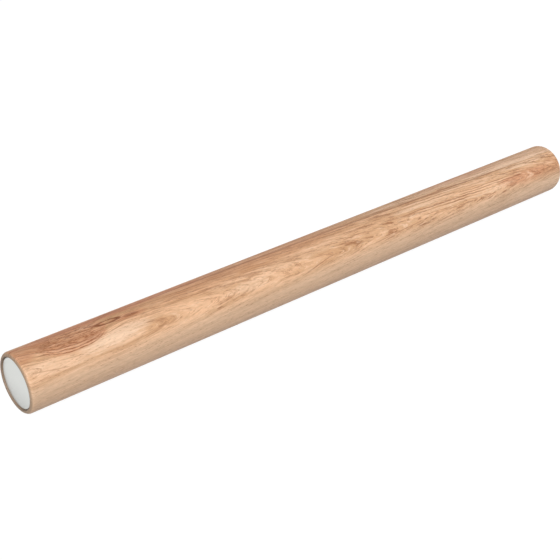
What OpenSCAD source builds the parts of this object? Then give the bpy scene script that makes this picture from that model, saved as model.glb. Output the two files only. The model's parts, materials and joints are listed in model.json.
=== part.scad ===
// Straight French rolling pin: a turned hardwood roller with a steel disc let into one end.
// The roller's axis is X, its middle is the origin, and the steel disc is at the -X end.
// Everything is in millimetres, at its real size.

/* [Roller] */
// Length of the roller over its two ends
roller_length = 505; // [300:5:600]
// Diameter of the roller
roller_diameter = 40; // [32:0.5:60]
// Radius that eases the edge of each end
edge_radius = 2.5; // [0.5:0.25:2.5]

/* [Recess] */
// Width of the wooden rim left around the recess
rim_width = 2.8; // [2.8:0.1:8]
// Width of the small bevel round the mouth of the recess
mouth_bevel = 0.2; // [0.05:0.05:0.25]
// Distance from the roller's end back to the disc's face
disc_setback = 1; // [0.4:0.1:3]
// Diameter of the centre hole that the boring bit's point leaves
spur_diameter = 4; // [2:0.5:6]
// Depth of that hole below the floor of the recess
spur_depth = 2.5; // [1:0.25:5]

/* [Steel disc] */
// Thickness of the disc
disc_thickness = 1.5; // [0.8:0.1:3]
// Gap all round between the disc and the wall of the recess
disc_gap = 0.15; // [0.05:0.05:0.5]
// Width of the bevel round the disc's face
disc_bevel = 0.55; // [0.1:0.05:0.6]

/* [Adhesive] */
// Thickness of the adhesive bed behind the disc
bed_thickness = 0.3; // [0.1:0.05:1]
// Distance by which the bed stops short of the disc's edge
bed_margin = 0.8; // [0.2:0.1:3]

/* [Hidden] */
$fn = 128;
// Overshoot that carries each cut clear of the face it starts from
cut_over = 1;

roller_radius = roller_diameter / 2;
recess_diameter = roller_diameter - 2 * rim_width;
disc_diameter = recess_diameter - 2 * disc_gap;
bed_diameter = disc_diameter - 2 * bed_margin;

// Depths are measured inwards from the roller's end
disc_back = disc_setback + disc_thickness;
recess_depth = disc_back + bed_thickness;

// Lays a piece that is drawn along +Z from the end plane along the roller's axis, disc end first
module along_roller()
    translate([-roller_length / 2, 0, 0])
        rotate([0, 90, 0])
            children();

// Half section of a bar whose two end edges are eased to a radius
module eased_half_section(length, radius, ease) {
    square([radius - ease, length]);
    translate([0, ease])
        square([radius, length - 2 * ease]);
    for (height = [ease, length - ease])
        translate([radius - ease, height])
            circle(ease);
}

// Cylinder with a 45 degree bevel round its lower edge
module bevelled_plate(diameter, thickness, bevel) {
    cylinder(d1 = diameter - 2 * bevel, d2 = diameter, h = bevel);
    translate([0, 0, bevel])
        cylinder(d = diameter, h = thickness - bevel);
}

// The centre hole of a flat-bottomed boring bit: a short bore that ends in a cone
module spur_hole() {
    straight = spur_depth / 2;
    cylinder(d = spur_diameter, h = straight);
    translate([0, 0, straight])
        cylinder(d1 = spur_diameter, d2 = 0, h = spur_depth - straight);
}

// Flat-bottomed recess for the disc, with its mouth bevelled and the bit's centre hole in its floor
module disc_recess() {
    translate([0, 0, -cut_over])
        cylinder(d = recess_diameter, h = cut_over + recess_depth);
    translate([0, 0, -cut_over])
        cylinder(d1 = recess_diameter + 2 * (mouth_bevel + cut_over),
                 d2 = recess_diameter, h = mouth_bevel + cut_over);
    translate([0, 0, recess_depth])
        spur_hole();
}

// Turned hardwood roller, one solid length of timber
module roller()
    color("burlywood")
        along_roller()
            difference() {
                rotate_extrude()
                    eased_half_section(roller_length, roller_radius, edge_radius);
                disc_recess();
            }

// Satin steel disc, set back a little from the end of the wood
module end_disc()
    color("silver")
        along_roller()
            translate([0, 0, disc_setback])
                bevelled_plate(disc_diameter, disc_thickness, disc_bevel);

// Cured adhesive that holds the disc and keys into the bit's centre hole
module adhesive_bed()
    color("lemonchiffon")
        along_roller() {
            translate([0, 0, disc_back])
                cylinder(d = bed_diameter, h = bed_thickness);
            translate([0, 0, recess_depth])
                spur_hole();
        }

roller();
end_disc();
adhesive_bed();
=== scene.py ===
"""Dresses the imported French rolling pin: figured timber, a satin steel disc and a plain studio."""

import json
import math
from typing import NamedTuple

import bpy
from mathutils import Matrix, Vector


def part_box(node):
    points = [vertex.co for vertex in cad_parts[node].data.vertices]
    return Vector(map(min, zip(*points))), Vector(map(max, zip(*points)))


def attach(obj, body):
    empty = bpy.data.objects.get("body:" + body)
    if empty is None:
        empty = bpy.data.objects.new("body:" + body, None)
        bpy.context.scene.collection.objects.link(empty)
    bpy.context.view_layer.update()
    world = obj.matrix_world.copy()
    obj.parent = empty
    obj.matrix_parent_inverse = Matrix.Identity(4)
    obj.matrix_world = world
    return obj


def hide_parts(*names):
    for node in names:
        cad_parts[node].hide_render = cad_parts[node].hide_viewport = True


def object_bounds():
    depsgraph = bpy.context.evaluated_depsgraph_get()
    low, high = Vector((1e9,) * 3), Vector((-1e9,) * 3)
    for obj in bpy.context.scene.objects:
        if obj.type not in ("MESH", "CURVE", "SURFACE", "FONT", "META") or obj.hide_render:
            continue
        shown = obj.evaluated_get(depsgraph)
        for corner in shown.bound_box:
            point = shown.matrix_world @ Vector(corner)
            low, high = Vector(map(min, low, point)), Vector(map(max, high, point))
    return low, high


bl_info = {
    "name": "French Rolling Pin",
    "version": (1, 0, 0),
    "blender": (4, 5, 0),
    "location": "3D View > Sidebar > Rolling Pin",
    "description": "Builds a turned hardwood rolling pin with a steel disc let into one end",
    "category": "Object",
}

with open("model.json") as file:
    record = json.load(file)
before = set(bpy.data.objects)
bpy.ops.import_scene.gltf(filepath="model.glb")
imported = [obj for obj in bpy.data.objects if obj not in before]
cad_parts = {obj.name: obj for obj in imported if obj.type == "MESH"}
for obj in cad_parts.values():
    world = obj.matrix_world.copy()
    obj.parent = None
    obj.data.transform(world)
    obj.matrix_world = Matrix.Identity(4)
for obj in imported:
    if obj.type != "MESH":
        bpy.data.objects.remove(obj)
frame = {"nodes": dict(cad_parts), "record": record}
CAD_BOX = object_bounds()

MM = 0.001
BODY = "root"
WHITE = (1.0, 1.0, 1.0, 1.0)
BLACK = (0.0, 0.0, 0.0, 1.0)

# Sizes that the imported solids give
ROLLER_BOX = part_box("roller")
DISC_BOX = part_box("end_disc")
BED_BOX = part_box("adhesive_bed")
BARREL = next(mount for mount in frame["record"]["mounts"] if mount["name"] == "barrel")

DISC_END = ROLLER_BOX[0].x
ROLLER_LENGTH = ROLLER_BOX[1].x - ROLLER_BOX[0].x
ROLLER_DIAMETER = 2 * BARREL["dims"]["r_mm"] * MM
EDGE_RADIUS = (ROLLER_LENGTH - BARREL["dims"]["length_mm"] * MM) / 2
DISC_DIAMETER = DISC_BOX[1].z - DISC_BOX[0].z
DISC_SETBACK = DISC_BOX[0].x - DISC_END
DISC_THICKNESS = DISC_BOX[1].x - DISC_BOX[0].x
SPUR_TIP = BED_BOX[1].x - DISC_END

# The side that the photograph shows: degrees above the horizon, seen from -Y
SHOWN_SIDE = 35.8


# Node graphs


class Signal:
    """An output socket that Python's arithmetic works on: each step adds one Math node."""

    def __init__(self, graph, socket):
        self.graph = graph
        self.socket = socket

    def output(self, name):
        """Another output of the same node."""
        return Signal(self.graph, self.socket.node.outputs[name])

    def __add__(self, other):
        return self.graph.maths("ADD", self, other)

    def __radd__(self, other):
        return self.graph.maths("ADD", other, self)

    def __sub__(self, other):
        return self.graph.maths("SUBTRACT", self, other)

    def __rsub__(self, other):
        return self.graph.maths("SUBTRACT", other, self)

    def __mul__(self, other):
        return self.graph.maths("MULTIPLY", self, other)

    def __rmul__(self, other):
        return self.graph.maths("MULTIPLY", other, self)

    def __truediv__(self, other):
        return self.graph.maths("DIVIDE", self, other)

    def __rtruediv__(self, other):
        return self.graph.maths("DIVIDE", other, self)

    def __pow__(self, power):
        return self.graph.maths("POWER", self, power)

    def __rpow__(self, base):
        return self.graph.maths("POWER", base, self)

    def __neg__(self):
        return self.graph.maths("MULTIPLY", self, -1.0)

    def __abs__(self):
        return self.graph.maths("ABSOLUTE", self)


class Graph:
    """A node tree while it is being built."""

    def __init__(self, tree):
        self.tree = tree

    def add(self, kind, settings=None, sockets=None, output=0):
        """Adds a node from its type, its settings and its sockets' values or links.

        The setting items is the number of values that an Index Switch chooses from.
        """
        node = self.tree.nodes.new(kind)
        for name, value in (settings or {}).items():
            if name == "items":
                while len(node.index_switch_items) < value:
                    node.index_switch_items.new()
            else:
                setattr(node, name, value)
        for name, value in (sockets or {}).items():
            if isinstance(value, Signal):
                self.tree.links.new(value.socket, node.inputs[name])
            else:
                node.inputs[name].default_value = value
        return Signal(self, node.outputs[output]) if node.outputs else None

    def maths(self, operation, *values):
        """One Math node."""
        return self.add("ShaderNodeMath", {"operation": operation}, dict(enumerate(values)))

    def strongest(self, first, *others):
        """The highest of some values."""
        for other in others:
            first = self.maths("MAXIMUM", first, other)
        return first

    def ease(self, value, start, end, low=0.0, high=1.0):
        """A smooth step from low to high as the value goes from start to end."""
        return self.add(
            "ShaderNodeMapRange",
            {"interpolation_type": "SMOOTHSTEP"},
            {"Value": value, "From Min": start, "From Max": end, "To Min": low, "To Max": high},
        )

    def vector(self, operation, *values):
        """One Vector Math node that gives a vector."""
        return self.add("ShaderNodeVectorMath", {"operation": operation}, dict(enumerate(values)))

    def point(self, x, y, z):
        """A vector made of three values."""
        return self.add("ShaderNodeCombineXYZ", None, {"X": x, "Y": y, "Z": z})

    def noise(self, place, detail=2.0, roughness=0.5):
        """Smooth noise from 0 to 1 with features about one unit long in the given place."""
        return self.add(
            "ShaderNodeTexNoise",
            {"noise_dimensions": "3D"},
            {"Vector": place, "Scale": 1.0, "Detail": detail, "Roughness": roughness},
        )

    def layers(self, value):
        """Noise that changes with one value only, so it lies in layers."""
        return self.add(
            "ShaderNodeTexNoise",
            {"noise_dimensions": "1D"},
            {"W": value, "Scale": 1.0, "Detail": 2.0, "Roughness": 0.5},
        )

    def mix(self, share, first, second, blend="MIX"):
        """One colour over another: a Mix node's colours are inputs 6 and 7 and output 2."""
        return self.add(
            "ShaderNodeMix",
            {"data_type": "RGBA", "blend_type": blend, "clamp_factor": True},
            {0: share, 6: first, 7: second},
            2,
        )

    def seen(self):
        """1 for what the camera, a reflection or glass sees, and 0 for light on other things."""
        camera = self.add("ShaderNodeLightPath", output="Is Camera Ray")
        glossy = camera.output("Is Glossy Ray")
        return self.strongest(camera, glossy, camera.output("Is Transmission Ray"))


def opaque(colour):
    """A colour property's value with the alpha that a socket wants."""
    return (*colour, 1.0)


def new_material(name):
    """An empty material and its graph."""
    material = bpy.data.materials.new(name)
    material.use_nodes = True
    material.node_tree.nodes.clear()
    return material, Graph(material.node_tree)


def finish_material(graph, shader):
    """Links the shader to the material's output."""
    graph.add("ShaderNodeOutputMaterial", None, {"Surface": shader})


# Turned solids

SOCKET_KINDS = {
    float: "NodeSocketFloat",
    int: "NodeSocketInt",
    bpy.types.Material: "NodeSocketMaterial",
}
WELD_DISTANCE = 0.001 * MM

# Facets round each eased corner
ROLLER_EDGE_STEPS = 10
DISC_EDGE_STEPS = 4

# How far from a rounded corner the outline has its next point, so that flat faces stay flat
ROLLER_HOLD = 0.3 * MM
DISC_HOLD = 0.15 * MM

# Roundings of the small corners
WALL_ROUNDING = 0.05 * MM
MOUTH_ROUNDING = 0.08 * MM
FACE_ROUNDING = 0.1 * MM
BACK_ROUNDING = 0.05 * MM


class Corner(NamedTuple):
    """A corner of a turned section: distance from the axis, depth from the disc end, rounding."""

    radius: float
    depth: float
    rounding: float = 0.0


def turned_solid_tree(name, section, values):
    """Geometry nodes that turn a section about the X axis, with a named input for each value."""
    tree = bpy.data.node_groups.new(name, "GeometryNodeTree")
    tree.interface.new_socket("Geometry", in_out="OUTPUT", socket_type="NodeSocketGeometry")
    for label, value in values.items():
        kind = SOCKET_KINDS[type(value)]
        socket = tree.interface.new_socket(label, in_out="INPUT", socket_type=kind)
        socket.default_value = value
    graph = Graph(tree)
    entry = graph.add("NodeGroupInput")
    sizes = {label: entry.output(label) for label in values}
    corners = section(sizes)
    index = graph.add("GeometryNodeInputIndex")

    def by_index(kind, choices):
        settings = {"data_type": kind, "items": len(choices)}
        sockets = dict(enumerate([index, *choices]))
        return graph.add("GeometryNodeIndexSwitch", settings, sockets)

    # The section is swept round a circle of the solid's radius, so its points are measured from it
    points = [
        graph.point(corner.radius - sizes["Radius"], corner.depth, 0.0) for corner in corners
    ]
    line = graph.add(
        "GeometryNodeResampleCurve",
        {"mode": "COUNT"},
        {"Curve": graph.add("GeometryNodeCurvePrimitiveLine"), "Count": len(corners)},
    )
    outline = graph.add(
        "GeometryNodeSetPosition", None, {"Geometry": line, "Position": by_index("VECTOR", points)}
    )
    rounded = graph.add(
        "GeometryNodeFilletCurve",
        {"mode": "POLY"},
        {
            "Curve": outline,
            "Count": sizes["Edge Steps"],
            "Radius": by_index("FLOAT", [corner.rounding for corner in corners]),
        },
    )
    circle = graph.add(
        "GeometryNodeCurvePrimitiveCircle",
        {"mode": "RADIUS"},
        {"Resolution": sizes["Segments"], "Radius": sizes["Radius"]},
    )
    upright = graph.add("GeometryNodeSetCurveNormal", {"mode": "Z_UP"}, {"Curve": circle})
    swept = graph.add(
        "GeometryNodeCurveToMesh", None, {"Curve": upright, "Profile Curve": rounded}
    )
    closed = graph.add(
        "GeometryNodeMergeByDistance", None, {"Geometry": swept, "Distance": WELD_DISTANCE}
    )
    smooth = graph.add(
        "GeometryNodeSetShadeSmooth", None, {"Geometry": closed, "Shade Smooth": True}
    )
    laid = graph.add(
        "GeometryNodeTransform",
        None,
        {
            "Geometry": smooth,
            "Translation": graph.point(sizes["Start"], 0.0, 0.0),
            "Rotation": (0.0, math.radians(-90), 0.0),
        },
    )
    solid = graph.add("GeometryNodeRealizeInstances", None, {"Geometry": laid})
    finished = graph.add(
        "GeometryNodeSetMaterial", None, {"Geometry": solid, "Material": sizes["Material"]}
    )
    graph.add("NodeGroupOutput", None, {"Geometry": finished})
    return tree


def turn_piece(name, section, values):
    """Runs a section's tree on an empty mesh and keeps the result as a plain mesh piece."""
    tree = turned_solid_tree(name, section, values)
    piece = bpy.data.objects.new(name, bpy.data.meshes.new(name))
    bpy.context.scene.collection.objects.link(piece)
    modifier = piece.modifiers.new("Turning", "NODES")
    modifier.node_group = tree
    for item in tree.interface.items_tree:
        if item.item_type == "SOCKET" and item.in_out == "INPUT":
            modifier[item.identifier] = values[item.name]
    depsgraph = bpy.context.evaluated_depsgraph_get()
    mesh = bpy.data.meshes.new_from_object(piece.evaluated_get(depsgraph), depsgraph=depsgraph)
    piece.modifiers.clear()
    piece.data = mesh
    mesh.name = name
    return piece


def place_on_body(piece, node):
    """Lets a piece ride on the pin and stand for its solid."""
    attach(piece, BODY)
    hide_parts(node)


# Settings


class RollerSizes(bpy.types.PropertyGroup):
    """Sizes of the turned roller."""

    length: bpy.props.FloatProperty(
        name="Length",
        description="Length over the two ends",
        default=ROLLER_LENGTH,
        unit="LENGTH",
    )
    diameter: bpy.props.FloatProperty(
        name="Diameter",
        description="Diameter of the barrel",
        default=ROLLER_DIAMETER,
        unit="LENGTH",
    )
    edge_radius: bpy.props.FloatProperty(
        name="Edge Radius",
        description="Radius that eases the edge of each end",
        default=EDGE_RADIUS,
        unit="LENGTH",
    )
    disc_gap: bpy.props.FloatProperty(
        name="Disc Gap",
        description="Gap all round between the disc and the wall of its recess",
        default=0.15 * MM,
        unit="LENGTH",
    )
    bed_thickness: bpy.props.FloatProperty(
        name="Bed Thickness",
        description="Depth left for adhesive behind the disc",
        default=0.3 * MM,
        unit="LENGTH",
    )
    mouth_bevel: bpy.props.FloatProperty(
        name="Mouth Bevel",
        description="Width of the bevel round the mouth of the recess",
        default=0.2 * MM,
        unit="LENGTH",
    )
    spur_diameter: bpy.props.FloatProperty(
        name="Spur Diameter",
        description="Diameter of the boring bit's centre hole",
        default=4 * MM,
        unit="LENGTH",
    )
    segments: bpy.props.IntProperty(
        name="Segments", description="Facets round the barrel", default=256, min=32, max=1024
    )


class DiscSizes(bpy.types.PropertyGroup):
    """Sizes of the steel disc."""

    diameter: bpy.props.FloatProperty(
        name="Diameter", description="Diameter of the disc", default=DISC_DIAMETER, unit="LENGTH"
    )
    thickness: bpy.props.FloatProperty(
        name="Thickness",
        description="Thickness of the disc",
        default=DISC_THICKNESS,
        unit="LENGTH",
    )
    setback: bpy.props.FloatProperty(
        name="Setback",
        description="Distance from the roller's end back to the disc's face",
        default=DISC_SETBACK,
        unit="LENGTH",
    )
    bevel: bpy.props.FloatProperty(
        name="Bevel",
        description="Width of the bevel round the face",
        default=0.55 * MM,
        unit="LENGTH",
    )


class TimberLook(bpy.types.PropertyGroup):
    """Colours and figure of the timber, with the colours of its painted shade and painted floor
    reflection.
    """

    pale: bpy.props.FloatVectorProperty(
        name="Pale", description="Early wood", default=(0.78, 0.48, 0.29), subtype="COLOR"
    )
    tan: bpy.props.FloatVectorProperty(
        name="Tan", description="Late wood", default=(0.60, 0.34, 0.182), subtype="COLOR"
    )
    # Painted reflection of the pale floor, which greys the lower side
    floor_reflection: bpy.props.FloatVectorProperty(
        name="Floor Reflection",
        description="Greyer wood along the lower side",
        default=(0.66, 0.466, 0.321),
        subtype="COLOR",
    )
    heart: bpy.props.FloatVectorProperty(
        name="Heart",
        description="Reddish heartwood",
        default=(0.50, 0.18, 0.085),
        subtype="COLOR",
    )
    line: bpy.props.FloatVectorProperty(
        name="Line",
        description="Tint of the dark ring lines and pores",
        default=(0.50, 0.36, 0.27),
        subtype="COLOR",
    )
    cream: bpy.props.FloatVectorProperty(
        name="Cream", description="Palest figure", default=(0.92, 0.67, 0.48), subtype="COLOR"
    )
    # Darker end grain, with painted shade of the rounded ends
    end_grain_and_shade: bpy.props.FloatVectorProperty(
        name="End Grain And Shade",
        description="Darker wood of the two ends",
        default=(0.40, 0.28, 0.19),
        subtype="COLOR",
    )
    # Painted shade on the wall of the recess
    shaded: bpy.props.FloatVectorProperty(
        name="Recess Shade",
        description="Wall of the bored recess",
        default=(0.20, 0.145, 0.105),
        subtype="COLOR",
    )
    pith_depth: bpy.props.FloatProperty(
        name="Pith Depth",
        description="Distance of the tree's centre behind the roller's axis",
        default=40.0 * MM,
        unit="LENGTH",
    )
    pith_side: bpy.props.FloatProperty(
        name="Pith Side",
        description="Sideways place of the tree's centre",
        default=-3.5 * MM,
        unit="LENGTH",
    )
    run_out: bpy.props.FloatProperty(
        name="Run-out", description="Slope of the grain against the roller's axis", default=0.042
    )
    ring_spacing: bpy.props.FloatProperty(
        name="Ring Spacing",
        description="Width of a year's growth",
        default=0.9 * MM,
        unit="LENGTH",
    )


class SteelLook(bpy.types.PropertyGroup):
    """Finish of the disc."""

    colour: bpy.props.FloatVectorProperty(
        name="Colour",
        description="Reflected colour",
        default=(0.70, 0.71, 0.685),
        subtype="COLOR",
    )
    roughness: bpy.props.FloatProperty(
        name="Roughness",
        description="Mean roughness of the satin face",
        default=0.38,
        subtype="FACTOR",
    )


class AdhesiveLook(bpy.types.PropertyGroup):
    """Colours of the adhesive."""

    amber: bpy.props.FloatVectorProperty(
        name="Amber", description="Clearer parts", default=(0.66, 0.60, 0.46), subtype="COLOR"
    )
    cloudy: bpy.props.FloatVectorProperty(
        name="Cloudy", description="Duller parts", default=(0.52, 0.46, 0.33), subtype="COLOR"
    )


class StudioSettings(bpy.types.PropertyGroup):
    """Camera, lamps and floor."""

    camera_place: bpy.props.FloatVectorProperty(
        name="Camera",
        description="Place of the camera",
        default=(-0.4816, -0.5140, 0.3708),
        unit="LENGTH",
    )
    camera_azimuth: bpy.props.FloatProperty(
        name="Azimuth",
        description="Direction that the camera looks from",
        default=math.radians(-40.40),
        unit="ROTATION",
    )
    camera_elevation: bpy.props.FloatProperty(
        name="Elevation",
        description="Height of the view above the horizon",
        default=math.radians(29.02),
        unit="ROTATION",
    )
    lens: bpy.props.FloatProperty(
        name="Lens", description="Focal length", default=70.0, unit="CAMERA"
    )
    key_side: bpy.props.FloatProperty(
        name="Key Side",
        description="Side that the key lamp stands at",
        default=math.radians(-25),
        unit="ROTATION",
    )
    key_height: bpy.props.FloatProperty(
        name="Key Height",
        description="Height of the key lamp above the horizon",
        default=math.radians(42),
        unit="ROTATION",
    )
    key_width: bpy.props.FloatProperty(
        name="Key Width",
        description="Angle that the key lamp spans",
        default=math.radians(25),
        unit="ROTATION",
    )
    key_strength: bpy.props.FloatProperty(
        name="Key Strength", description="Light of the key lamp", default=3.1
    )
    end_strength: bpy.props.FloatProperty(
        name="End Strength", description="Light of the lamp at the disc end", default=0.35
    )
    far_strength: bpy.props.FloatProperty(
        name="Far Strength",
        description="Light of the lamp at the plain end and the back",
        default=2.6,
    )
    sky_strength: bpy.props.FloatProperty(
        name="Sky Strength",
        description="Light of the surroundings on matt surfaces",
        default=0.03,
        subtype="FACTOR",
    )
    floor_colour: bpy.props.FloatVectorProperty(
        name="Floor",
        description="Colour of the table top",
        default=(0.55, 0.55, 0.55),
        subtype="COLOR",
    )
    shadow_share: bpy.props.FloatProperty(
        name="Shadow Share",
        description="How much of the floor's look is lit by the lamps",
        default=0.22,
        subtype="FACTOR",
    )


# Timber


class Patch(NamedTuple):
    """A long patch on the shown side of the wood.

    Its centre is in millimetres from the disc end and in degrees round from the middle of the
    shown side. Then come half its length and half its width in millimetres, its lean across the
    grain, its strength, the power that makes its tips blunt, and how far from its centre it goes
    on tapering towards the disc end.
    """

    centre: float
    angle: float
    half_length: float
    half_width: float
    lean: float = 0.0
    share: float = 1.0
    blunt: float = 2.0
    taper: float = ROLLER_LENGTH / MM


class Cells(NamedTuple):
    """Noise drawn out along the grain: length and width in millimetres, shift, detail, height."""

    length: float
    width: float
    shift: float
    detail: float = 1.0
    height: float = 1.0


# The flame and the eye near the disc, and the pale belly under them
FLAME = Patch(37.0, 46.0, 25.0, 10.4, -0.02, blunt=3.5)
EYE = Patch(64.5, 45.0, 8.5, 1.7, -0.02)
BELLY = Patch(62.0, 2.0, 48.0, 7.0, taper=22.0)
BELLY_CREAM = Patch(64.0, 9.0, 26.0, 5.0, 0.06, 0.72)

# Where ring lines are few, long and close, or faint
CLEAN = Patch(50.0, 3.0, 42.0, 7.0, 0.02)
COMBED = Patch(380.0, 17.0, 66.0, 8.5, -0.05)
CALM_ZONES = (
    Patch(475.0, -4.0, 38.0, 8.0, -0.02),
    Patch(455.0, 51.0, 75.0, 6.0, -0.03),
)

# Palest figure, reddish heart and single dark marks
PALE_ZONES = (
    Patch(18.0, 4.0, 24.0, 4.5, -0.12, 0.3),
    Patch(50.0, 53.0, 9.0, 1.6, 0.0, 0.55),
    Patch(168.0, 4.0, 18.0, 4.0, 0.0, 0.35),
    Patch(195.0, 21.0, 60.0, 4.0, 0.0, 0.2),
    Patch(335.0, 56.0, 40.0, 3.0, -0.03, 0.45),
    Patch(455.0, 52.0, 110.0, 5.0, -0.03, 0.45),
    Patch(456.0, 43.0, 60.0, 2.2, -0.03, 0.9),
    Patch(467.0, 30.0, 30.0, 2.5, -0.03, 0.45),
    Patch(475.0, -47.0, 40.0, 6.0, 0.0, 0.2),
)
HEART_ZONES = (
    Patch(5.0, 45.0, 10.0, 6.0, 0.0, 0.45),
    Patch(21.0, 61.0, 14.0, 3.0, 0.02, 0.6),
    Patch(72.0, 69.0, 80.0, 4.0, 0.0, 0.75),
    Patch(400.0, 68.0, 45.0, 4.0, -0.03, 0.4),
    Patch(455.0, 53.0, 70.0, 6.0, -0.03, 0.1),
    Patch(52.0, 23.5, 8.0, 1.8, 0.05, 0.4),
    Patch(80.0, 41.0, 13.0, 2.4, 0.0, 0.5),
    Patch(461.0, -1.0, 30.0, 5.0, -0.03, 0.46),
    Patch(478.0, -4.0, 40.0, 7.0, -0.02, 0.2),
)
MARKS = (
    Patch(20.5, 44.0, 4.5, 2.0, -0.05, 0.6),
    Patch(16.5, 28.0, 6.0, 0.6, -0.15, 0.7),
    Patch(17.5, 36.0, 5.0, 0.6, -0.12, 0.6),
    Patch(35.0, 33.0, 1.8, 1.3, 0.0, 0.7),
    Patch(48.0, 28.5, 5.0, 0.6, 0.03, 0.6),
    Patch(51.5, 23.0, 7.5, 1.5, 0.05, 0.6),
    Patch(81.0, 41.0, 6.5, 1.3, -0.04, 0.85),
    Patch(40.0, 37.0, 12.0, 0.5, -0.03, 0.6),
    Patch(69.0, 26.0, 9.0, 0.4, 0.17, 0.6),
    Patch(12.0, 1.0, 9.0, 0.35, -0.17, 0.5),
    Patch(21.0, -4.0, 8.0, 0.35, -0.16, 0.5),
    Patch(30.0, 6.0, 8.0, 0.3, -0.12, 0.4),
    Patch(97.0, 8.0, 5.0, 0.6, -0.1, 0.45),
    Patch(104.0, -3.0, 5.0, 0.7, 0.2, 0.4),
    Patch(141.0, -13.0, 3.0, 0.6, 0.1, 0.7),
    Patch(229.0, -9.5, 15.0, 0.4, 0.2, 0.7),
    Patch(277.0, 17.5, 12.0, 0.4, -0.14, 0.5),
    Patch(312.0, -9.5, 34.0, 0.4, 0.045, 0.6),
    Patch(334.5, -15.0, 5.0, 0.6, 0.03, 1.0),
    Patch(329.0, 12.0, 5.0, 0.5, 0.0, 0.6),
    Patch(220.0, 57.0, 130.0, 1.1, -0.022, 0.7),
    Patch(365.0, 44.0, 125.0, 0.65, -0.028, 0.9),
    Patch(357.0, 13.0, 4.5, 0.6, -0.05, 0.7),
    Patch(347.0, 2.0, 5.5, 0.5, 0.0, 0.6),
    Patch(387.0, -8.0, 9.0, 0.4, -0.05, 0.75),
    Patch(404.0, -13.0, 2.0, 1.0, 0.3, 0.7),
    Patch(419.5, 1.0, 3.5, 0.5, 0.1, 0.6),
    Patch(411.0, -8.0, 6.0, 0.45, -0.2, 0.7),
    Patch(413.0, -17.0, 4.0, 0.5, 0.15, 0.7),
    Patch(430.5, -17.0, 3.0, 0.7, 0.08, 0.9),
    Patch(441.0, -13.0, 6.0, 0.5, 0.12, 0.7),
    Patch(451.0, 7.5, 5.5, 0.8, -0.08, 0.8),
    Patch(448.0, 14.5, 9.0, 0.4, -0.1, 0.55),
    Patch(450.0, -4.0, 6.0, 0.6, 0.0, 0.5),
    Patch(471.0, 0.0, 4.5, 0.5, -0.15, 0.7),
    Patch(475.0, -8.0, 5.0, 0.9, -0.05, 0.6),
    Patch(484.0, -4.0, 14.0, 0.4, 0.01, 0.8),
    Patch(492.0, -13.0, 13.0, 0.45, 0.0, 0.6),
    Patch(489.0, 10.0, 6.0, 0.35, 0.0, 0.5),
    Patch(480.0, 28.0, 16.0, 0.4, -0.05, 0.5),
)

# Noises of the timber, from slow bends of the grain down to its fibres
BENDS = Cells(85.0, 24.0, 3.7, height=1.6)
CREST_SWAY = Cells(60.0, 90.0, 2.9, height=8.0)
STREAKS = Cells(34.0, 2.2, 1.3, 3.0)
FLAME_SWAY = Cells(22.0, 7.0, 7.7, height=0.6)
WAVES = Cells(17.0, 3.4, 8.1, 2.0, height=0.6)
CLOSE_SWAY = Cells(10.0, 40.0, 4.2, height=1.3)
DASHES = Cells(6.5, 0.6, 5.9, 2.0)
RIPPLES = Cells(5.0, 1.0, 6.3, height=0.35)
FIBRES = Cells(4.5, 0.9, 4.6, 3.0, height=0.4)
VESSELS = Cells(4.2, 0.6, 2.2)
SCALES = Cells(3.4, 0.9, 9.4, 2.0)
SWAY_ROUGHNESS = 0.6

# How much streaks and dashes break up the edge of a patch
STRONG_FRAY = 2.4
WEAK_FRAY = 1.2

# Pointed arches of the rings along the crest: its height at the disc end and fall along the roller
CREST_HEIGHT = 2.2
CREST_FALL = 0.012
CREST_WIDTH = (3.0, 8.0)
ARCH_DEPTH = 0.2

# Steepness, and height in millimetres, of the rings' bulges round the flame, eye and belly
FLAME_BULGE = (0.8, 5.0)
EYE_BULGE = (0.6, 2.5)
BELLY_BULGE = (0.5, 4.5)

# Lines and strokes along the rings: their reach along and up in millimetres, and strokes a year
LINE_REACH = (45.0, 16.0)
STROKE_REACH = (12.0, 6.0)
STROKES_A_YEAR = 2.4

# Broad bands of growth, the flame's outlines, and the close lines of the far half
BAND_WIDTH = 3.6
BAND_SHIFT = 11.0
OUTLINE_SPACING = 0.12
OUTLINE_SHIFT = 0.93
CLOSE_REACH = (60.0, 12.0)
CLOSE_SPACING = 0.85
CLOSE_LEAN = 0.045

# Noise levels between which lines, strokes and pores fade in
DARK_LINES = (0.54, 0.60)
DARK_STROKES = (0.56, 0.61)
PALE_LINES = (0.43, 0.33)
DARK_CLOSE_LINES = (0.46, 0.40)
PALE_CLOSE_LINES = (0.52, 0.62)
PORE_EDGE = (0.32, 0.16)
PORE_RINGS = (0.42, 0.6)

# Stretches of the roller, in millimetres from the disc end, over which the wood changes
FLAME_TIP = (15.0, 23.0)
FLAME_SHOULDER = (30.0, 55.0)
BUSY_STRETCH = (180.0, 320.0)
DULL_STRETCH = (200.0, 300.0)
STROKE_STRETCH = (300.0, 420.0)
HEART_MIDDLE = 180.0
HEART_FADE = (40.0, 130.0)

# Heights on the shown side, in millimetres, between which the wood changes
# Below these heights the lower side takes the painted reflection of the pale floor
FLOOR_REFLECTION_RISE = (-1.0, -12.0)
UPPER_RISE = (6.0, 16.0)
OUTLINE_RISE = (15.5, 12.5)
SHOULDER_DROP = 5.0

# A patch ends between these distances in front of the axis, so it doesn't show on the far side
FAR_SIDE = (9.0, 2.0)
FAR_SIDE_REACH = 9.0

# Depths in millimetres to which the end grain with its painted shade, and the painted shade of the
# recess wall, darken the wood
END_GRAIN_AND_SHADE_DEPTH = (1.2, 0.3)
# Painted shade of the recess: its reach out from the wall and its depth along the roller
RECESS_SHADE_WIDTH = (0.7, 0.2)
RECESS_SHADE_DEPTH = (7.0, 6.0)


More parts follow.
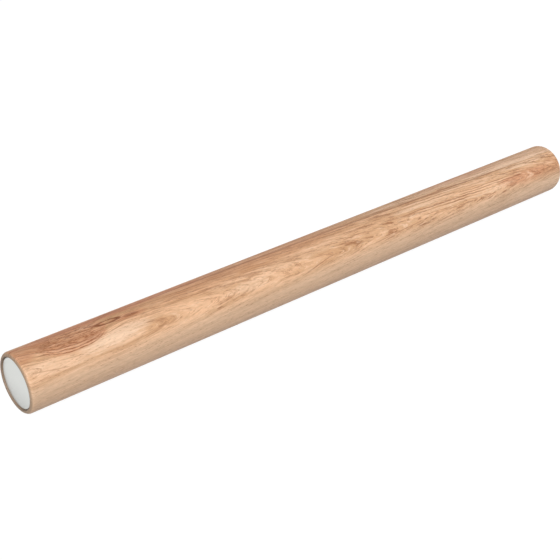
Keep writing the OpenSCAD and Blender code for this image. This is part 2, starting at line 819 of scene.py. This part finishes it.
class WoodSpace:
    """Places in the timber in millimetres: along from the disc end, out of the shown side, up."""

    def __init__(self, graph, length):
        self.graph = graph
        self.place = graph.add(
            "ShaderNodeMapping",
            {"vector_type": "POINT"},
            {
                "Vector": graph.add("ShaderNodeTexCoord", output="Object"),
                "Location": (length / 2 / MM, 0.0, 0.0),
                "Rotation": (math.radians(SHOWN_SIDE), 0.0, 0.0),
                "Scale": (1 / MM, 1 / MM, 1 / MM),
            },
        )
        parts = graph.add("ShaderNodeSeparateXYZ", None, {"Vector": self.place})
        self.along = parts.output("X")
        self.toward = -parts.output("Y")
        self.rise = parts.output("Z")

    def radius(self, rise=0.0, toward=0.0):
        """Distance from a line along the timber, at a height and a distance to the shown side."""
        upright = (self.rise - rise) ** 2.0
        return self.graph.maths("SQRT", upright + (self.toward - toward) ** 2.0)

    def cells(self, cells):
        """The place divided into cells that are long with the grain."""
        sizes = (1 / cells.length, 1 / cells.width, 1 / cells.width)
        cell = self.graph.vector("MULTIPLY", self.place, sizes)
        return self.graph.vector("ADD", cell, (cells.shift,) * 3)

    def sway(self, cells):
        """Noise about zero in such cells."""
        noise = self.graph.noise(self.cells(cells), cells.detail, SWAY_ROUGHNESS) - 0.5
        return noise * cells.height

    def patch(self, patch):
        """How far out from the middle of a patch: 1 at its edge, and more outside it."""
        turn = math.radians(patch.angle)
        sideways = self.rise * math.cos(turn) - self.toward * math.sin(turn)
        outwards = self.rise * math.sin(turn) + self.toward * math.cos(turn)
        off = self.along - patch.centre
        reach = abs(self.graph.maths("MAXIMUM", off, -patch.taper) / patch.half_length)
        length_part = reach ** patch.blunt
        width_part = ((sideways - off * patch.lean) / patch.half_width) ** 2.0
        behind = self.graph.ease(outwards, *FAR_SIDE, 0.0, FAR_SIDE_REACH)
        return length_part + width_part + behind

    def bulge(self, reach, steepness, height):
        """A smooth hump over a patch."""
        return self.graph.maths("EXPONENT", reach * -steepness) * height


class Timber:
    """The wood's growth rings and figure, as shares of colours and lines over the whole roller."""

    def __init__(self, graph, look, length):
        self.graph = graph
        self.look = look
        self.far_end = length / MM
        self.space = space = WoodSpace(graph, length)
        along, rise = space.along, space.rise

        # Fine noise, and the rough edges that it gives broad patches and thin marks
        self.streaks = space.sway(STREAKS)
        self.dashes = space.sway(DASHES)
        self.scales = space.sway(SCALES)
        self.ragged = self.streaks * STRONG_FRAY + self.dashes * WEAK_FRAY
        self.frayed = self.dashes * STRONG_FRAY + self.streaks * WEAK_FRAY

        # Where the flame, the eye, the painted floor reflection on the lower side, the upper side
        # and the close lines are
        flame = space.patch(FLAME)
        self.eye = space.patch(EYE)
        self.flame_edge = flame + space.sway(FLAME_SWAY) + self.dashes * 0.2
        self.below = graph.ease(rise, *FLOOR_REFLECTION_RISE)
        self.above = graph.ease(rise, *UPPER_RISE)
        self.combed = graph.ease(space.patch(COMBED) + self.streaks, 1.3, 0.7)

        # Noise that follows the rings, from broad bands down to short strokes
        depth = self.ring_depth(flame, self.eye)
        years = depth / (look.ring_spacing / MM)
        self.bands = graph.layers(depth / BAND_WIDTH + BAND_SHIFT)
        length, height = LINE_REACH
        self.rings = graph.noise(graph.point(along / length, years, rise / height), 4.0, 0.7)
        length, height = STROKE_REACH
        strokes = graph.point(along / length, years * STROKES_A_YEAR, rise / height)
        self.strokes = graph.noise(strokes, 3.0, 0.65)

    def ring_depth(self, flame, eye):
        """Distance from the tree's centre, with run-out, bends, pointed arches and the knots."""
        graph, look, space = self.graph, self.look, self.space
        from_pith = space.radius(look.pith_side / MM, -look.pith_depth / MM)
        crest = space.rise - CREST_HEIGHT + space.along * CREST_FALL - space.sway(CREST_SWAY)
        arches = graph.maths("SQRT", crest ** 2.0 + 1.0) * ARCH_DEPTH
        waves = space.sway(WAVES) + space.sway(RIPPLES)
        bends = space.sway(BENDS) + waves * graph.ease(abs(crest), *CREST_WIDTH, 1.0, 0.4)
        knots = (
            space.bulge(flame, *FLAME_BULGE)
            + space.bulge(eye, *EYE_BULGE)
            - space.bulge(space.patch(BELLY), *BELLY_BULGE)
        )
        return from_pith - space.along * look.run_out - arches + bends - knots

    def zones(self, patches, rough, outer, inner):
        """The strongest of some patches, each fading in between two reaches with a rough edge."""
        return self.graph.strongest(
            *(
                self.graph.ease(self.space.patch(patch) + rough, outer, inner) * patch.share
                for patch in patches
            )
        )

    def ground(self):
        """Pale early wood and tan late wood, with a painted reflection of the pale floor that greys
        the lower side.
        """
        graph, look = self.graph, self.look
        tone = self.bands * 0.5 + self.streaks * 0.42 + 0.25 + self.above * 0.04
        wood = graph.mix(graph.ease(tone, 0.38, 0.64), opaque(look.pale), opaque(look.tan))
        # Painted reflection of the pale floor: the lower side greyer and paler
        return graph.mix(self.below * 0.7, wood, opaque(look.floor_reflection))

    def palest(self):
        """The cream of the belly, of the middle and along the top of the far end."""
        belly = self.zones([BELLY_CREAM], self.ragged, 1.6, 0.0)
        return self.graph.strongest(belly, self.zones(PALE_ZONES, self.ragged, 1.6, 0.2))

    def heart(self):
        """The reddish heart inside the flame, along the top of the middle and at the far end."""
        ease = self.graph.ease
        inside = ease(self.flame_edge + self.streaks, 1.15, 0.85) * (0.42 + self.scales * 0.9)
        middle = ease(abs(self.space.along - HEART_MIDDLE), *HEART_FADE, 0.28, 0.0)
        zones = self.zones(HEART_ZONES, self.ragged, 1.5, 0.4)
        return self.graph.strongest(inside, self.above * middle, zones)

    def ends(self):
        """The end grain of the two ends: darker as end grain is, and with painted shade on their
        eased edges.
        """
        deep, shallow = END_GRAIN_AND_SHADE_DEPTH
        return self.graph.strongest(
            self.graph.ease(self.space.along, deep, shallow),
            self.graph.ease(self.space.along, self.far_end - deep, self.far_end - shallow),
        )

    def flame_lines(self):
        """The flame's close outlines on its lower side: dark, with blotches inside, and pale."""
        ease, along, edge = self.graph.ease, self.space.along, self.flame_edge
        lower = ease(self.space.rise + ease(along, *FLAME_SHOULDER) * SHOULDER_DROP, *OUTLINE_RISE)
        broken = lower * ease(self.dashes, -0.25, 0.05)
        outlined = broken * ease(edge, 1.08, 1.0) * ease(edge, 0.33, 0.4)
        outlined = outlined * ease(along, *FLAME_TIP, 0.3, 1.0)
        comb = self.graph.maths("PINGPONG", edge - OUTLINE_SHIFT, OUTLINE_SPACING)
        comb = comb / OUTLINE_SPACING
        blotches = ease(self.scales, 0.02, 0.1) * ease(edge, 0.6, 0.3)
        dark = self.graph.strongest(ease(comb, 0.5, 0.15) * outlined, blotches * 0.8)
        return dark, ease(comb, 0.6, 0.95) * outlined * 0.35

    def ring_lines(self):
        """Ring lines and strokes, most of them above the greyed lower side and towards the far end.
        """
        ease, along, strongest = self.graph.ease, self.space.along, self.graph.strongest
        busy = ease(along, *BUSY_STRETCH, 0.66, 1.1) * (1.0 - self.below * 0.65)
        clean = ease(self.space.patch(CLEAN) + self.ragged * 0.4, 0.7, 1.3, 0.25)
        calm = self.zones(CALM_ZONES, self.streaks, 1.3, 0.8)
        loud = 1.0 - strongest(self.combed * 0.6, calm * 0.5)
        lines = ease(self.rings, *DARK_LINES) * 0.75
        strokes = ease(self.strokes, *DARK_STROKES) * ease(along, *STROKE_STRETCH, 0.65, 0.95)
        pale = strongest(
            ease(self.rings, *PALE_LINES) * 0.5, ease(self.strokes, *PALE_LINES) * 0.45
        )
        return strongest(lines, strokes) * busy * clean * loud, pale * busy

    def close_lines(self):
        """The long close lines of the far half: dark and pale."""
        graph, space = self.graph, self.space
        length, thickness = CLOSE_REACH
        across = space.rise + space.along * CLOSE_LEAN + space.sway(CLOSE_SWAY)
        hairs = graph.noise(
            graph.point(space.along / length, across / CLOSE_SPACING, space.toward / thickness)
        )
        dark = graph.ease(hairs, *DARK_CLOSE_LINES) * self.combed * 0.85
        return dark, graph.ease(hairs, *PALE_CLOSE_LINES) * self.combed * 0.45

    def eye_ring(self):
        """The dark ring round the pale middle of the eye."""
        rough = self.eye + self.dashes * 1.2
        return self.graph.ease(rough, 0.2, 0.6) * self.graph.ease(rough, 1.7, 1.0)

    def pores(self):
        """Short open vessels along the grain, in the denser rings."""
        vessels = self.graph.add(
            "ShaderNodeTexVoronoi",
            {"voronoi_dimensions": "3D", "feature": "F1"},
            {"Vector": self.space.cells(VESSELS), "Scale": 1.0, "Randomness": 1.0},
            "Distance",
        )
        return self.graph.ease(vessels, *PORE_EDGE) * self.graph.ease(self.rings, *PORE_RINGS)

    def shaded(self, radius):
        """The recess, darkened as painted shade."""
        outer, inner = RECESS_SHADE_WIDTH
        wall = self.graph.ease(self.space.radius(), radius + outer, radius + inner)
        return wall * self.graph.ease(self.space.along, *RECESS_SHADE_DEPTH)

    def sparkle(self):
        """Light and dark fibres all over, a little darker towards the far end."""
        slope = self.graph.ease(self.space.along, *DULL_STRETCH, 1.0, 0.95)
        return self.space.sway(FIBRES) + slope


def turned_hardwood(look, length, recess_radius):
    """Solid timber: growth rings about a centre outside the roller, with figure and pores."""
    material, graph = new_material("turned_hardwood")
    wood = Timber(graph, look, length)
    cream, line = opaque(look.cream), opaque(look.line)
    colour = graph.mix(wood.palest(), wood.ground(), cream)
    colour = graph.mix(wood.heart(), colour, opaque(look.heart))
    # End grain: partly its own darker colour, partly painted shade of the rounded ends
    colour = graph.mix(wood.ends() * 0.85, colour, opaque(look.end_grain_and_shade))

    flame_dark, flame_pale = wood.flame_lines()
    ring_dark, ring_pale = wood.ring_lines()
    close_dark, close_pale = wood.close_lines()
    eye_ring = wood.eye_ring()
    marks = wood.zones(MARKS, wood.frayed, 1.4, 0.3)
    dark = graph.strongest(flame_dark, ring_dark, close_dark, eye_ring, marks)
    colour = graph.mix(dark, colour, line, "MULTIPLY")
    colour = graph.mix(eye_ring * 0.4, colour, line, "MULTIPLY")
    colour = graph.mix(graph.strongest(ring_pale, close_pale, flame_pale), colour, cream)

    pores = wood.pores()
    colour = graph.mix(pores * 0.7, colour, line, "MULTIPLY")
    # Painted shade on the wall and floor of the recess
    colour = graph.mix(wood.shaded(recess_radius / MM) * 0.9, colour, opaque(look.shaded))
    sparkle = wood.sparkle()
    colour = graph.vector("MULTIPLY", colour, graph.point(sparkle, sparkle, sparkle))

    height = wood.dashes * 0.25 - pores * 0.8
    bump = graph.add(
        "ShaderNodeBump", None, {"Strength": 0.35, "Distance": 0.06 * MM, "Height": height}
    )
    shader = graph.add(
        "ShaderNodeBsdfPrincipled",
        None,
        {
            "Base Color": colour,
            "Roughness": 0.55 + wood.dashes * 0.2 + pores * 0.2,
            "Specular IOR Level": 0.35,
            "Normal": bump,
        },
    )
    finish_material(graph, shader)
    return material


# Steel and adhesive

# Length, spread and width of a brushing line
BRUSH_LINE = (1.0 * MM, 6.0 * MM, 0.06 * MM)
BRUSHED_SHADE = 0.86

# Painted reflection of the shaded floor under the pin: the disc darkens towards its foot between
# these heights
FOOT_HEIGHT = -16.0 * MM
FACE_HEIGHT = 4.0 * MM
FOOT_SHADE = 0.82

# Cloud sizes, in clouds to the metre
STEEL_CLOUDS = 60.0
ADHESIVE_CLOUDS = 350.0


def satin_steel(look):
    """Steel with a fine brushed grain, and a painted reflection of the shaded floor that darkens it
    towards its foot.
    """
    material, graph = new_material("brushed_steel")
    place = graph.add("ShaderNodeTexCoord", output="Object")
    brushing = graph.vector("MULTIPLY", place, [1 / size for size in BRUSH_LINE])
    hairs = graph.noise(brushing, 2.0, 0.6)
    cloud = graph.noise(graph.vector("MULTIPLY", place, (STEEL_CLOUDS,) * 3))
    height = graph.add("ShaderNodeSeparateXYZ", None, {"Vector": place}, "Z")
    # Painted reflection: darker towards the foot of the disc
    shade = graph.ease(height, FOOT_HEIGHT, FACE_HEIGHT, FOOT_SHADE, 1.0)
    brushed = opaque([part * BRUSHED_SHADE for part in look.colour])
    tint = graph.mix(hairs * 0.5, opaque(look.colour), brushed)
    bump = graph.add(
        "ShaderNodeBump", None, {"Strength": 0.15, "Distance": 0.01 * MM, "Height": hairs}
    )
    shader = graph.add(
        "ShaderNodeBsdfPrincipled",
        None,
        {
            "Base Color": graph.mix(shade, BLACK, tint),
            "Metallic": 1.0,
            "Roughness": look.roughness + (hairs - 0.5) * 0.16 + (cloud - 0.5) * 0.08,
            "Normal": bump,
        },
    )
    finish_material(graph, shader)
    return material


def cured_adhesive(look):
    """Slightly cloudy adhesive."""
    material, graph = new_material("cured_adhesive")
    place = graph.add("ShaderNodeTexCoord", output="Object")
    cloud = graph.noise(graph.vector("MULTIPLY", place, (ADHESIVE_CLOUDS,) * 3), 3.0)
    shader = graph.add(
        "ShaderNodeBsdfPrincipled",
        None,
        {
            "Base Color": graph.mix(cloud, opaque(look.amber), opaque(look.cloudy)),
            "Roughness": 0.35 + cloud * 0.2,
        },
    )
    finish_material(graph, shader)
    return material


# Pieces


def roller_section(size):
    """The roller's half section, from the tip of the spur hole to the middle of the plain end."""
    radius = size["Radius"]
    ease = size["Edge Radius"]
    end = size["Length"]
    floor = size["Recess Depth"]
    spur = size["Spur Radius"]
    tip = size["Spur Tip"]
    wall = size["Recess Radius"]
    bevel = size["Mouth Bevel"]
    return [
        Corner(0.0, tip),
        Corner(spur, (tip + floor) / 2),
        Corner(spur, floor),
        Corner(wall, floor),
        Corner(wall, bevel, WALL_ROUNDING),
        Corner(wall + bevel, 0.0, MOUTH_ROUNDING),
        Corner(radius, 0.0, ease),
        Corner(radius, ease + ROLLER_HOLD),
        Corner(radius, end / 2),
        Corner(radius, end - ease - ROLLER_HOLD),
        Corner(radius, end, ease),
        Corner(radius - ease - ROLLER_HOLD, end),
        Corner(0.0, end),
    ]


def disc_section(size):
    """The disc's half section, from the middle of its face to the middle of its back."""
    radius = size["Radius"]
    face = size["Setback"]
    back = face + size["Thickness"]
    bevel = size["Bevel"]
    return [
        Corner(0.0, face),
        Corner(radius - bevel - DISC_HOLD, face),
        Corner(radius - bevel, face, FACE_ROUNDING),
        Corner(radius, face + bevel, FACE_ROUNDING),
        Corner(radius, back, BACK_ROUNDING),
        Corner(radius - bevel, back),
        Corner(0.0, back),
    ]


class TurnRoller(bpy.types.Operator):
    """Turns the roller, bores its recess and gives it its timber"""

    bl_idname = "rolling_pin.turn_roller"
    bl_label = "Turn Roller"

    def execute(self, context):
        sizes = context.scene.pin_roller
        disc = context.scene.pin_disc
        recess_radius = disc.diameter / 2 + sizes.disc_gap
        wood = turned_hardwood(context.scene.pin_timber, sizes.length, recess_radius)
        piece = turn_piece(
            "turned_roller",
            roller_section,
            {
                "Start": -sizes.length / 2,
                "Length": sizes.length,
                "Radius": sizes.diameter / 2,
                "Edge Radius": sizes.edge_radius,
                "Recess Radius": recess_radius,
                "Recess Depth": disc.setback + disc.thickness + sizes.bed_thickness,
                "Mouth Bevel": sizes.mouth_bevel,
                "Spur Radius": sizes.spur_diameter / 2,
                "Spur Tip": SPUR_TIP,
                "Segments": sizes.segments,
                "Edge Steps": ROLLER_EDGE_STEPS,
                "Material": wood,
            },
        )
        place_on_body(piece, "roller")
        return {"FINISHED"}


class FitEndDisc(bpy.types.Operator):
    """Makes the steel disc and sets it in the recess"""

    bl_idname = "rolling_pin.fit_end_disc"
    bl_label = "Fit End Disc"

    def execute(self, context):
        sizes = context.scene.pin_disc
        roller = context.scene.pin_roller
        piece = turn_piece(
            "satin_end_disc",
            disc_section,
            {
                "Start": -roller.length / 2,
                "Radius": sizes.diameter / 2,
                "Setback": sizes.setback,
                "Thickness": sizes.thickness,
                "Bevel": sizes.bevel,
                "Segments": roller.segments,
                "Edge Steps": DISC_EDGE_STEPS,
                "Material": satin_steel(context.scene.pin_steel),
            },
        )
        place_on_body(piece, "end_disc")
        return {"FINISHED"}


class FinishAdhesive(bpy.types.Operator):
    """Gives the hidden adhesive bed its finish"""

    bl_idname = "rolling_pin.finish_adhesive"
    bl_label = "Finish Adhesive"

    def execute(self, context):
        bed = frame["nodes"]["adhesive_bed"]
        bed.data.materials.clear()
        bed.data.materials.append(cured_adhesive(context.scene.pin_adhesive))
        return {"FINISHED"}


# Studio

SENSOR_WIDTH = 36.0
CLIP_RANGE = (0.01, 50.0)

# Side, height and width of the two weaker lamps, in degrees
END_LAMP = (-75, 50, 60)
FAR_LAMP = (122, 2, 20)

FLOOR_HALF = 3.0
FLOOR_GLOW = 1.2


def direction(azimuth, elevation):
    """Towards a place that is seen at an azimuth, which is 0 along -Y, and an elevation."""
    level = math.cos(elevation)
    return Vector((math.sin(azimuth) * level, -math.cos(azimuth) * level, math.sin(elevation)))


def place_camera(scene, settings):
    """The photograph's viewpoint."""
    camera = bpy.data.objects.new("camera", bpy.data.cameras.new("camera"))
    camera.data.lens = settings.lens
    camera.data.sensor_width = SENSOR_WIDTH
    camera.data.clip_start, camera.data.clip_end = CLIP_RANGE
    camera.location = settings.camera_place
    camera.rotation_mode = "QUATERNION"
    back = direction(settings.camera_azimuth, settings.camera_elevation)
    camera.rotation_quaternion = (-back).to_track_quat("-Z", "Y")
    scene.collection.objects.link(camera)
    scene.camera = camera


def place_lamps(scene, settings):
    """A soft key over the front, a weak lamp at the disc end, and a low one at the other end."""
    key_lamp = (settings.key_side, settings.key_height, settings.key_width)
    for name, angles, strength in (
        ("key_lamp", key_lamp, settings.key_strength),
        ("end_lamp", map(math.radians, END_LAMP), settings.end_strength),
        ("far_lamp", map(math.radians, FAR_LAMP), settings.far_strength),
    ):
        side, height, width = angles
        lamp = bpy.data.objects.new(name, bpy.data.lights.new(name, "SUN"))
        lamp.data.angle = width
        lamp.data.energy = strength
        lamp.rotation_mode = "QUATERNION"
        lamp.rotation_quaternion = (-direction(side, height)).to_track_quat("-Z", "Y")
        lamp.location = direction(side, height)
        lamp.visible_glossy = name != "far_lamp"
        scene.collection.objects.link(lamp)


def light_surroundings(scene, settings):
    """White where the camera or a reflection sees it, and a plain dim light on all else."""
    scene.world = bpy.data.worlds.new("studio")
    scene.world.use_nodes = True
    scene.world.node_tree.nodes.clear()
    graph = Graph(scene.world.node_tree)
    strength = settings.sky_strength + graph.seen() * (1.0 - settings.sky_strength)
    background = graph.add("ShaderNodeBackground", None, {"Color": WHITE, "Strength": strength})
    graph.add("ShaderNodeOutputWorld", None, {"Surface": background})


def lay_floor(scene, settings):
    """A large pale floor that the pin lies on."""
    material, graph = new_material("pale_floor")
    lit = graph.add("ShaderNodeBsdfDiffuse", None, {"Color": opaque(settings.floor_colour)})
    glow = graph.add("ShaderNodeEmission", None, {"Color": WHITE, "Strength": FLOOR_GLOW})
    share = graph.seen() * (1.0 - settings.shadow_share)
    finish_material(graph, graph.add("ShaderNodeMixShader", None, {0: share, 1: lit, 2: glow}))
    level = CAD_BOX[0].z
    corners = ((-1, -1), (1, -1), (1, 1), (-1, 1))
    mesh = bpy.data.meshes.new("floor")
    mesh.from_pydata(
        [(x * FLOOR_HALF, y * FLOOR_HALF, level) for x, y in corners], [], [(0, 1, 2, 3)]
    )
    mesh.materials.append(material)
    floor = bpy.data.objects.new("floor", mesh)
    scene.collection.objects.link(floor)


class SetStudio(bpy.types.Operator):
    """Sets the camera, the soft lamps and the pale floor"""

    bl_idname = "rolling_pin.set_studio"
    bl_label = "Set Studio"

    def execute(self, context):
        settings = context.scene.pin_studio
        place_camera(context.scene, settings)
        place_lamps(context.scene, settings)
        light_surroundings(context.scene, settings)
        lay_floor(context.scene, settings)
        context.scene.view_settings.view_transform = "Standard"
        return {"FINISHED"}


# Sidebar and registration

SETTINGS = {
    "pin_roller": RollerSizes,
    "pin_timber": TimberLook,
    "pin_disc": DiscSizes,
    "pin_steel": SteelLook,
    "pin_adhesive": AdhesiveLook,
    "pin_studio": StudioSettings,
}


class RollingPinPanel(bpy.types.Panel):
    """Sizes, colours and steps of the rolling pin"""

    bl_idname = "VIEW3D_PT_rolling_pin"
    bl_label = "Rolling Pin"
    bl_space_type = "VIEW_3D"
    bl_region_type = "UI"
    bl_category = "Rolling Pin"

    def draw(self, context):
        for title, groups, operator in (
            ("Roller", ("pin_roller", "pin_timber"), TurnRoller),
            ("Disc", ("pin_disc", "pin_steel"), FitEndDisc),
            ("Adhesive", ("pin_adhesive",), FinishAdhesive),
            ("Studio", ("pin_studio",), SetStudio),
        ):
            box = self.layout.box()
            box.label(text=title)
            for group in groups:
                for name in SETTINGS[group].__annotations__:
                    box.prop(getattr(context.scene, group), name)
            box.operator(operator.bl_idname)


CLASSES = (
    *SETTINGS.values(),
    TurnRoller,
    FitEndDisc,
    FinishAdhesive,
    SetStudio,
    RollingPinPanel,
)


def register():
    """Registers the classes and the scene's settings."""
    for cls in CLASSES:
        bpy.utils.register_class(cls)
    for name, group in SETTINGS.items():
        setattr(bpy.types.Scene, name, bpy.props.PointerProperty(type=group))


def unregister():
    """Removes the scene's settings and the classes."""
    for name in SETTINGS:
        delattr(bpy.types.Scene, name)
    for cls in reversed(CLASSES):
        bpy.utils.unregister_class(cls)


def main():
    """Makes the pieces and the stage."""
    register()
    bpy.ops.rolling_pin.turn_roller()
    bpy.ops.rolling_pin.fit_end_disc()
    bpy.ops.rolling_pin.finish_adhesive()
    bpy.ops.rolling_pin.set_studio()


if __name__ == "__main__":
    main()
